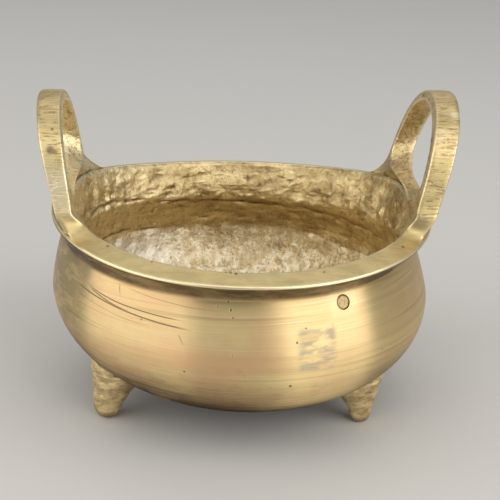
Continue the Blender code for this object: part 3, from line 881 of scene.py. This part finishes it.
class Finish:
    """One procedural surface. Sizes and places are in metres."""

    def __init__(self, name):
        self.material = bpy.data.materials.new(name)
        self.material.use_nodes = True
        self.tree = self.material.node_tree
        self.shader = self.tree.nodes["Principled BSDF"]
        self.place = self.node("ShaderNodeTexCoord", output="Object")
        x, self.y, self.z = (
            self.node("ShaderNodeSeparateXYZ", {}, {0: self.place}, axis) for axis in "XYZ"
        )
        self.x = x + SET_OVER
        self.path = self.maths("SQRT", self.x * self.x + self.y * self.y) + self.z
        self.front = self.maths("ARCTAN2", self.x, -1 * self.y)

    def node(self, kind, settings=None, inputs=None, output=0):
        node = self.tree.nodes.new(kind)
        for name, value in (settings or {}).items():
            if name == "curve":
                points = node.mapping.curves[0].points
                while len(points) < len(value):
                    points.new(0.5, 0.5)
                for point, place in zip(points, value):
                    point.location = place
                node.mapping.use_clip = False
                node.mapping.update()
            else:
                setattr(node, name, value)
        for key, value in (inputs or {}).items():
            if isinstance(value, Value):
                self.tree.links.new(value.socket, node.inputs[key])
            else:
                node.inputs[key].default_value = value
        return Value(self, node.outputs[output])

    def maths(self, operation, *values):
        return self.node("ShaderNodeMath", {"operation": operation}, dict(enumerate(values)))

    def most(self, value, *others):
        """The largest of several values."""
        for other in others:
            value = self.maths("MAXIMUM", value, other)
        return value

    def between(self, value, low, high):
        """0 at low, 1 at high, eased; high may be the lower number."""
        settings = {"interpolation_type": "SMOOTHSTEP"}
        inputs = {"Value": value, "From Min": low, "From Max": high}
        return self.node("ShaderNodeMapRange", settings, inputs)

    def spread(self, size, stretch=(1, 1, 1), shift=0.0):
        """The place on the piece, counted in features of a size, longer along some axes."""
        scale = tuple(1 / (size * longer) for longer in stretch)
        inputs = {"Vector": self.place, "Location": (shift, shift * 1.7, -shift), "Scale": scale}
        return self.node("ShaderNodeMapping", {}, inputs)

    def noise_at(self, place, detail, harshness):
        inputs = {"Vector": place, "Scale": 1.0, "Detail": detail, "Roughness": harshness}
        return self.node("ShaderNodeTexNoise", {}, inputs)

    def cloud(self, size, stretch=(1, 1, 1), detail=2.0, harshness=0.5, shift=0.0):
        """Soft random variation from 0 to 1."""
        return self.noise_at(self.spread(size, stretch, shift), detail, harshness)

    def cells(self, size):
        """Distance from scattered points, 0 at each."""
        inputs = {"Vector": self.spread(size), "Scale": 1.0}
        return self.node("ShaderNodeTexVoronoi", {"feature": "F1"}, inputs)

    def rings(self, pitch, length, detail, shift=0.0):
        """Fine lines round the axis, as a lathe leaves them, each one fading along its length."""
        inputs = {0: self.x * (1 / length), 1: self.y * (1 / length)}
        around = self.node("ShaderNodeCombineXYZ", {}, inputs)
        across = self.node("ShaderNodeCombineXYZ", {}, {2: self.path * (1 / pitch) + shift})
        place = self.node("ShaderNodeVectorMath", {"operation": "ADD"}, {0: around, 1: across})
        return self.noise_at(place, detail, 0.6)

    def attribute(self, name):
        return self.node("ShaderNodeAttribute", {"attribute_name": name}, {}, "Fac")

    def spot(self, azimuth, height, radius, core=0.0):
        """1 at a place on the belly, given by its front azimuth in degrees, fading out."""
        across = (self.front - math.radians(azimuth)) * BELLY_RADIUS
        up = self.z - height
        away = self.maths("SQRT", across * across + up * up)
        return self.between(away, radius, radius * core)

    def turned_to(self, start, end):
        """0 at one front azimuth and 1 at another, both in degrees."""
        return self.between(self.front, math.radians(start), math.radians(end))

    def stretch_of_belly(self, left, right, bottom, top, soft):
        """1 within a stretch of the belly between two azimuths and two heights."""
        turn = soft / BELLY_RADIUS
        left, right = math.radians(left), math.radians(right)
        across = self.between(self.front, left - turn, left)
        across = across * self.between(self.front, right + turn, right)
        up = across * self.between(self.z, bottom - soft, bottom)
        return up * self.between(self.z, top + soft, top)

    def near(self, centre, radius, soft):
        """1 within a radius of a point, fading out."""
        x, y, z = centre
        inputs = {0: self.place, 1: (x - SET_OVER, y, z)}
        away = self.node("ShaderNodeVectorMath", {"operation": "DISTANCE"}, inputs, "Value")
        return self.between(away, radius, radius * (1 - soft))

    def height_along(self, points):
        """A height that follows (front azimuth in degrees, height) points."""
        first, last = points[0][0], points[-1][0]
        low = min(value for _, value in points)
        span = max(value for _, value in points) - low
        curve = [((a - first) / (last - first), (v - low) / span) for a, v in points]
        start, end = math.radians(first), math.radians(last)
        share = (self.front - start) * (1 / (end - start))
        height = self.node("ShaderNodeFloatCurve", {"curve": curve}, {"Value": share})
        return height * span + low

    def groove(self, points, width, fade):
        """1 along a scratch that runs through (front azimuth in degrees, height) points."""
        away = abs(self.z - self.height_along(points))
        line = 1 - self.between(away, width * 0.35, width)
        start, end = math.radians(points[0][0]), math.radians(points[-1][0])
        ease = math.radians(fade)
        line = line * self.between(self.front, start, start + ease)
        return line * self.between(self.front, end, end - ease)

    def mix(self, share, first, second):
        """One colour turning into another as share goes from 0 to 1."""
        inputs = {0: share}
        for index, colour in ((6, first), (7, second)):
            inputs[index] = colour if isinstance(colour, Value) else (*colour, 1.0)
        return self.node("ShaderNodeMix", {"data_type": "RGBA"}, inputs, 2)

    def tone(self, share, colour):
        """Turn the finish's colour so far into another where share is 1."""
        self.colour = self.mix(share, self.colour, colour)

    def painted(self, roughness, height, anisotropy=0.0):
        """Put it all on the shader; the height is in metres."""
        normal = self.node("ShaderNodeBump", {}, {"Height": height, "Distance": 1.0, "Strength": 1.0})
        self.shader.inputs["Metallic"].default_value = 1.0
        self.shader.inputs["Anisotropic"].default_value = anisotropy
        self.shader.inputs["Anisotropic Rotation"].default_value = 0.25
        self.tree.links.new(self.colour.socket, self.shader.inputs["Base Color"])
        self.tree.links.new(roughness.socket, self.shader.inputs["Roughness"])
        self.tree.links.new(normal.socket, self.shader.inputs["Normal"])
        return self.material


def turned_finish():
    """The outside of the bowl: fine lathe lines, a few long scores and casting pits."""
    f = Finish("turned_bronze")
    fine = f.rings(0.00022, 0.030, 3.0)
    lines = f.rings(0.00065, 0.060, 4.0, 7.0)
    bands = f.rings(0.0026, 0.140, 3.0, 3.0)
    haze = f.cloud(0.016, (1, 1, 0.6), 4.0, 0.55)
    blotch = f.cloud(0.006, (1.6, 1.6, 0.6), 5.0, 0.65, 3.0)
    f.colour = f.mix(f.between(haze, 0.35, 0.65), (0.84, 0.61, 0.31), (0.90, 0.70, 0.35))
    f.tone(f.between(lines, 0.46, 0.32) * 0.55, (0.56, 0.40, 0.19))
    f.tone(f.between(bands, 0.47, 0.34) * 0.30, (0.62, 0.45, 0.22))
    f.tone(f.between(fine, 0.55, 0.70) * 0.40, (0.99, 0.86, 0.58))
    rosy = f.between(f.z, 0.0275, 0.0295) * f.between(f.z, 0.0355, 0.0320)
    rosy = rosy * f.turned_to(16, 6)
    rosy = rosy * f.turned_to(-44, -18)
    copper = f.turned_to(20, -10) * f.between(haze, 0.62, 0.42)
    f.tone(copper * 0.27, (0.88, 0.56, 0.32))
    f.tone(rosy * (0.30 + 0.30 * blotch), (0.84, 0.50, 0.27))
    to_left = f.between(f.x, 0.012, -0.030)
    level = f.z - 0.0040 * to_left + 0.0050 * blotch
    streak = f.between(lines, 0.35, 0.62)
    # Painted shade: the belly darkens towards its bottom, more on the left and along the lathe lines
    low = f.between(level, 0.0300, 0.0170)
    f.tone(low * (0.35 + 0.30 * streak + 0.25 * to_left), (0.12, 0.078, 0.040))
    # Painted shade: the darkest band, at the very bottom of the belly
    lowest_shade = f.between(level, 0.0215, 0.0135)
    f.tone(lowest_shade * 0.93, (0.040, 0.026, 0.016))
    tarnish = f.between(blotch, 0.48, 0.66) * f.between(f.z, 0.0330, 0.0200)
    f.tone(tarnish * (0.30 + 0.25 * to_left), (0.26, 0.175, 0.09))
    # Painted shade on the lower right of the belly
    lower_right_shade = f.between(f.x, 0.012, 0.036) * f.between(f.z, 0.0300, 0.0190)
    f.tone(lower_right_shade * 0.5, (0.26, 0.19, 0.10))
    far_left = f.turned_to(-42, -66) * f.between(blotch, 0.38, 0.56)
    f.tone(far_left * 0.5, (0.34, 0.29, 0.15))
    green = f.spot(-55.7, 0.0455, 0.0045)
    f.tone(green * 0.5, (0.46, 0.46, 0.24))
    # Painted shade under the lip's edge: the cove below it is darkened, unevenly
    cove = f.between(f.attribute("true_height"), NECK_HEIGHT - 0.0005, NECK_HEIGHT + 0.0012)
    cove_shade_blotches = f.between(blotch, 0.30, 0.60)
    f.tone(cove * (0.60 + 0.28 * cove_shade_blotches), (0.07, 0.045, 0.022))
    scores = [
        f.groove([(-61, 0.0415), (-46, 0.0403), (-31.5, 0.0393), (-14.6, 0.0382)], 0.00024, 8.0),
        f.groove([(-56, 0.0429), (-43.6, 0.0413), (-29, 0.0406), (-17, 0.0402)], 0.00018, 8.0),
        f.groove([(-55, 0.0424), (-47.7, 0.0411), (-41.3, 0.0402), (-33.9, 0.0396)], 0.00020, 6.0),
        f.groove([(-62, 0.0395), (-50, 0.0388), (-36, 0.0379), (-27, 0.0376)], 0.00010, 8.0) * 0.5,
        f.groove([(-40, 0.0452), (-22, 0.0437), (-8, 0.0431)], 0.00010, 6.0) * 0.5,
        f.groove([(-20.2, 0.0374), (-18.2, 0.0344)], 0.0003, 0.8) * 0.6,
        f.groove([(-41.4, 0.0458), (-39.7, 0.0424)], 0.0003, 0.8) * 0.7,
    ]
    scored = f.most(*scores)
    f.tone(scored * 0.75, (0.15, 0.10, 0.05))
    pits = f.between(f.cells(0.0030), 0.09, 0.04) * f.between(f.cloud(0.009, shift=11.0), 0.50, 0.62)
    pits = f.most(pits, *(f.spot(*pit, 0.4) for pit in TURNED_PITS))
    f.tone(pits * 0.8, (0.13, 0.08, 0.04))
    patch = f.stretch_of_belly(14.5, 23.0, 0.0296, 0.0376, 0.0022)
    rubbed = f.between(f.rings(0.0011, 0.014, 1.0, 21.0), 0.40, 0.56)
    worn = f.between(f.cloud(0.0034, (1.8, 1.8, 0.8), 3.0, 0.6, 23.0), 0.34, 0.54)
    f.tone(patch * worn * (0.12 + 0.50 * rubbed), (0.40, 0.37, 0.30))
    around_plug = f.stretch_of_belly(24.5, 32.5, 0.0410, 0.0452, 0.0016) * 0.25
    f.tone(around_plug, (0.95, 0.82, 0.52))
    rough = 0.34 + 0.08 * haze + 0.05 * bands + 0.12 * low + 0.08 * patch * worn
    height = 0.0000045 * fine + 0.000012 * lines + 0.00003 * bands - 0.00007 * scored - 0.00008 * pits
    return f.painted(rough, height, 1.0)


def filed_finish():
    """Lip and the outer faces of the ears: satin, with fine file marks across the strap."""
    f = Finish("filed_bronze")
    marks = f.cloud(0.00034, (22, 1.3, 1), 3.0, 0.65)
    deep_marks = f.cloud(0.0007, (16, 1.3, 1), 4.0, 0.65, 4.0)
    broad = f.cloud(0.005, (2, 1, 1), 4.0, 0.6)
    on_ear = f.between(f.z, LIP_HEIGHT + LIP_RISE, LIP_HEIGHT + LIP_RISE + 0.004)
    dashes = f.cloud(0.00055, (6, 1.5, 1), 3.0, 0.6, 31.0)
    dash_patches = f.between(f.cloud(0.0050, (0.5, 1, 1.6), 3.0, 0.6, 33.0), 0.34, 0.50)
    dashed = f.between(dashes, 0.49, 0.38) * dash_patches * on_ear
    f.colour = f.mix(f.between(broad, 0.35, 0.65), (0.58, 0.46, 0.22), (0.72, 0.57, 0.29))
    f.tone(f.between(deep_marks, 0.48, 0.34) * (0.15 + 0.20 * on_ear), (0.30, 0.215, 0.10))
    f.tone(dashed * 0.55, (0.22, 0.15, 0.07))
    f.tone(f.between(marks, 0.55, 0.75) * (0.15 + 0.45 * on_ear), (0.98, 0.88, 0.62))
    wear_and_hollow_shade = f.attribute("edge_wear")
    f.tone(f.between(wear_and_hollow_shade, 0.62, 0.80) * 0.6, (0.88, 0.76, 0.50))
    # Painted shade where the surface lies sunken, as where the ears meet the lip
    f.tone(f.between(wear_and_hollow_shade, 0.44, 0.30) * 0.7, (0.22, 0.145, 0.07))
    pits = f.between(f.cells(0.0024), 0.10, 0.05) * f.between(f.cloud(0.006, shift=5.0), 0.50, 0.62)
    pits = f.most(pits, *(f.near(place, size, 0.6) for *place, size in LIP_MARKS))
    f.tone(pits * 0.85, (0.13, 0.085, 0.045))
    for *place, size, share in EAR_STAINS:
        f.tone(f.near(place, size, 0.7) * share, (0.20, 0.15, 0.09))
    # Painted highlights: the ears lightened where they catch a reflection
    for *place, size in EAR_PAINTED_HIGHLIGHTS:
        f.tone(f.near(place, size, 0.8) * 0.6, (1.0, 0.90, 0.64))
    rough = 0.38 + 0.14 * broad - 0.10 * f.between(wear_and_hollow_shade, 0.62, 0.80)
    height = (0.000010 + 0.000022 * on_ear) * marks + 0.00003 * deep_marks * on_ear
    height = height - 0.0001 * pits - 0.00006 * dashed
    return f.painted(rough, height)


def cast_finish():
    """The inside and the opening of each ear: sand-cast skin, with painted shade in its folds."""
    f = Finish("cast_bronze")
    lumps = f.cloud(0.0022, (1, 1, 1), 4.0, 0.62)
    grit = f.cloud(0.0009, (1, 1, 1), 4.0, 0.7, 2.0)
    grain = f.cloud(0.00030, (1, 1, 1), 2.0, 0.6, 5.0)
    on_ear = f.between(f.z, 0.0580, 0.0610)
    patches = f.cloud(0.008, (1.4, 1.4, 0.7), 5.0, 0.62, 9.0)
    streaks = f.cloud(0.0026, (0.8, 0.8, 2.2), 5.0, 0.7, 13.0)
    waver = 0.0012 * f.cloud(0.006, (1, 1, 1), 3.0, 0.6, 17.0)
    upper = f.between(f.z + waver, 0.0415, 0.0440)
    lower = f.between(f.z + waver, 0.0342, 0.0322)
    middle = 1 - upper - lower
    to_left = f.between(f.x, -0.012, -0.038)
    f.colour = f.mix(f.between(patches, 0.34, 0.64), (0.44, 0.325, 0.15), (0.78, 0.62, 0.33))
    # Painted light: the left side of the inside is lightened
    f.tone(to_left * 0.6, (0.98, 0.84, 0.52))
    f.tone(f.between(lumps, 0.46, 0.30) * 0.65, (0.22, 0.14, 0.065))
    f.tone(f.between(lumps, 0.60, 0.76) * 0.5, (1.0, 0.86, 0.56))
    f.tone(f.most(middle, 0.0) * 0.18, (0.62, 0.47, 0.26))
    pale = f.mix(f.between(streaks, 0.36, 0.64), (0.62, 0.48, 0.26), (1.0, 0.93, 0.72))
    pale = f.mix(f.between(patches, 0.56, 0.38) * 0.55, pale, (0.58, 0.44, 0.25))
    pale = f.mix(f.between(lumps, 0.46, 0.32) * 0.6, pale, (0.32, 0.225, 0.11))
    # A painted highlight: a near-white silvery patch low on the left of the inside
    painted_silver_highlight = f.near((-0.026, 0.030, 0.0273), 0.020, 0.8)
    pale = f.mix(painted_silver_highlight * 0.85, pale, (1.0, 0.98, 0.90))
    f.tone(lower * 0.9, pale)
    stain = f.near((0.002, 0.041, 0.0298), 0.006, 0.9)
    f.tone(stain * 0.4, (0.80, 0.48, 0.24))
    f.tone(f.between(grit, 0.47, 0.34) * (0.45 + 0.30 * on_ear), (0.20, 0.13, 0.06))
    f.tone(f.between(grit, 0.60, 0.72) * 0.35, (1.0, 0.88, 0.60))
    wear_and_hollow_shade = f.attribute("edge_wear")
    f.tone(f.between(wear_and_hollow_shade, 0.54, 0.72) * 0.55, (1.0, 0.90, 0.62))
    # Painted shade in the folds and hollows of the skin
    f.tone(f.between(wear_and_hollow_shade, 0.48, 0.32) * 0.75, (0.16, 0.10, 0.05))
    rough = 0.27 + 0.20 * patches + 0.04 * lower
    height = (0.00022 + 0.00022 * upper) * lumps + 0.00026 * grit + 0.00004 * grain
    height = height + 0.00016 * streaks * lower
    return f.painted(rough, height)


def foot_finish():
    """Feet: filed round, dull, dark where they join the bowl."""
    f = Finish("foot_bronze")
    marks = f.cloud(0.00045, (9, 9, 1), 4.0, 0.65)
    broad = f.cloud(0.0026, (1.5, 1.5, 1), 4.0, 0.65)
    grit = f.cloud(0.0008, (1, 1, 1), 4.0, 0.65, 6.0)
    f.colour = f.mix(f.between(broad, 0.34, 0.62), (0.50, 0.37, 0.18), (0.90, 0.72, 0.40))
    f.tone(f.between(marks, 0.46, 0.32) * 0.6, (0.26, 0.17, 0.08))
    f.tone(f.between(marks, 0.58, 0.72) * 0.5, (1.0, 0.90, 0.62))
    wear_and_hollow_shade = f.attribute("edge_wear")
    joint = f.between(wear_and_hollow_shade, 0.46, 0.34)
    f.tone(joint * 0.85, (0.12, 0.075, 0.035))
    f.tone(f.between(f.z, 0.0030, 0.0004) * 0.5, (0.20, 0.13, 0.06))
    rough = 0.40 + 0.16 * broad
    height = 0.00012 * marks + 0.00024 * grit
    return f.painted(rough, height)


def pin_finish():
    """The plug's face: hammered down and a little duller than the bowl."""
    f = Finish("pin_bronze")
    dents = f.cloud(0.0007, (1, 1, 1), 4.0)
    f.colour = f.mix(f.between(dents, 0.35, 0.60), (0.40, 0.30, 0.15), (0.57, 0.45, 0.24))
    return f.painted(0.52 + 0.12 * dents, 0.00002 * dents)


def floor_finish():
    f = Finish("pale_floor")
    shade = f.cloud(0.3, (1, 1, 1), 2.0)
    f.colour = f.mix(shade, (0.58, 0.57, 0.55), (0.61, 0.60, 0.58))
    f.painted(0.8 + 0.1 * shade, 0.00001 * shade)
    f.shader.inputs["Metallic"].default_value = 0.0
    return f.material


# Studio

FLOOR_RADIUS = 3.0
FLOOR_SIDES = 96
LIT_POINT = (0, 0, 0.04)
WORLD_LIGHT = (0.40, 0.40, 0.40, 1.0)
CAMERA_PLACE = (-0.02027, -0.30154, 0.15342)
CAMERA_LENS, CAMERA_SENSOR = 86.47, 36.0  # millimetres


def make_floor():
    deselect_everything()
    bpy.ops.mesh.primitive_circle_add(vertices=FLOOR_SIDES, radius=FLOOR_RADIUS, fill_type="NGON")
    floor = bpy.context.object
    floor.name = "floor"
    floor.data.materials.append(floor_finish())


def soft_light(name, azimuth, distance, centre_height, size, watts, colour):
    """A soft light that stands at an azimuth from the camera side and faces the burner."""
    data = bpy.data.lights.new(name, "AREA")
    data.shape = "RECTANGLE"
    data.size, data.size_y = size
    data.energy = watts
    data.color = colour
    lamp = bpy.data.objects.new(name, data)
    bpy.context.scene.collection.objects.link(lamp)
    angle = math.radians(azimuth)
    lamp.location = (distance * math.sin(angle), -distance * math.cos(angle), centre_height)
    target = Vector(LIT_POINT) - Vector(lamp.location)
    lamp.rotation_euler = target.to_track_quat("-Z", "Y").to_euler()
    lamp.visible_camera = False


def make_lights():
    soft_light("left_panel", -68, 0.9, 0.42, (1.35, 0.80), 5.4, (1.0, 0.97, 0.92))
    soft_light("right_panel", 51, 0.8, 0.40, (0.92, 0.84), 5.4, (1.0, 0.98, 0.94))
    soft_light("front_panel", -8, 0.45, 0.95, (0.80, 0.50), 2.0, (1.0, 0.98, 0.95))
    soft_light("top_panel", 180, 0.5, 1.1, (1.2, 0.9), 2.2, (1.0, 0.99, 0.97))
    world = bpy.data.worlds.new("studio")
    world.use_nodes = True
    world.node_tree.nodes["Background"].inputs["Color"].default_value = WORLD_LIGHT
    bpy.context.scene.world = world


def make_camera():
    data = bpy.data.cameras.new("camera")
    data.lens = CAMERA_LENS
    data.sensor_width = CAMERA_SENSOR
    camera = bpy.data.objects.new("camera", data)
    bpy.context.scene.collection.objects.link(camera)
    right = Vector((0.9976, -0.0601, 0.0344))
    up = Vector((-0.0112, 0.3500, 0.9367))
    back = Vector((-0.0683, -0.9348, 0.3485))
    turn = Matrix((right, up, back)).transposed().to_4x4()
    camera.matrix_world = Matrix.Translation(CAMERA_PLACE) @ turn
    bpy.context.scene.camera = camera
    bpy.context.scene.view_settings.view_transform = "Standard"


make_camera()
make_floor()
make_lights()
SLOTS = [turned_finish(), filed_finish(), cast_finish(), foot_finish()]

casting = make_casting()
mark_heights(casting)
stand_centred(casting)
mark_edges(casting)
take_up(casting)
bpy.ops.object.shade_smooth_by_angle(angle=SMOOTH_ANGLE)
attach(casting, "root")
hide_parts("censer")

plug = make_plug()
stand_centred(plug)
take_up(plug)
bpy.ops.object.shade_smooth_by_angle(angle=SMOOTH_ANGLE)
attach(plug, "root")
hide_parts("shoulder_plug")
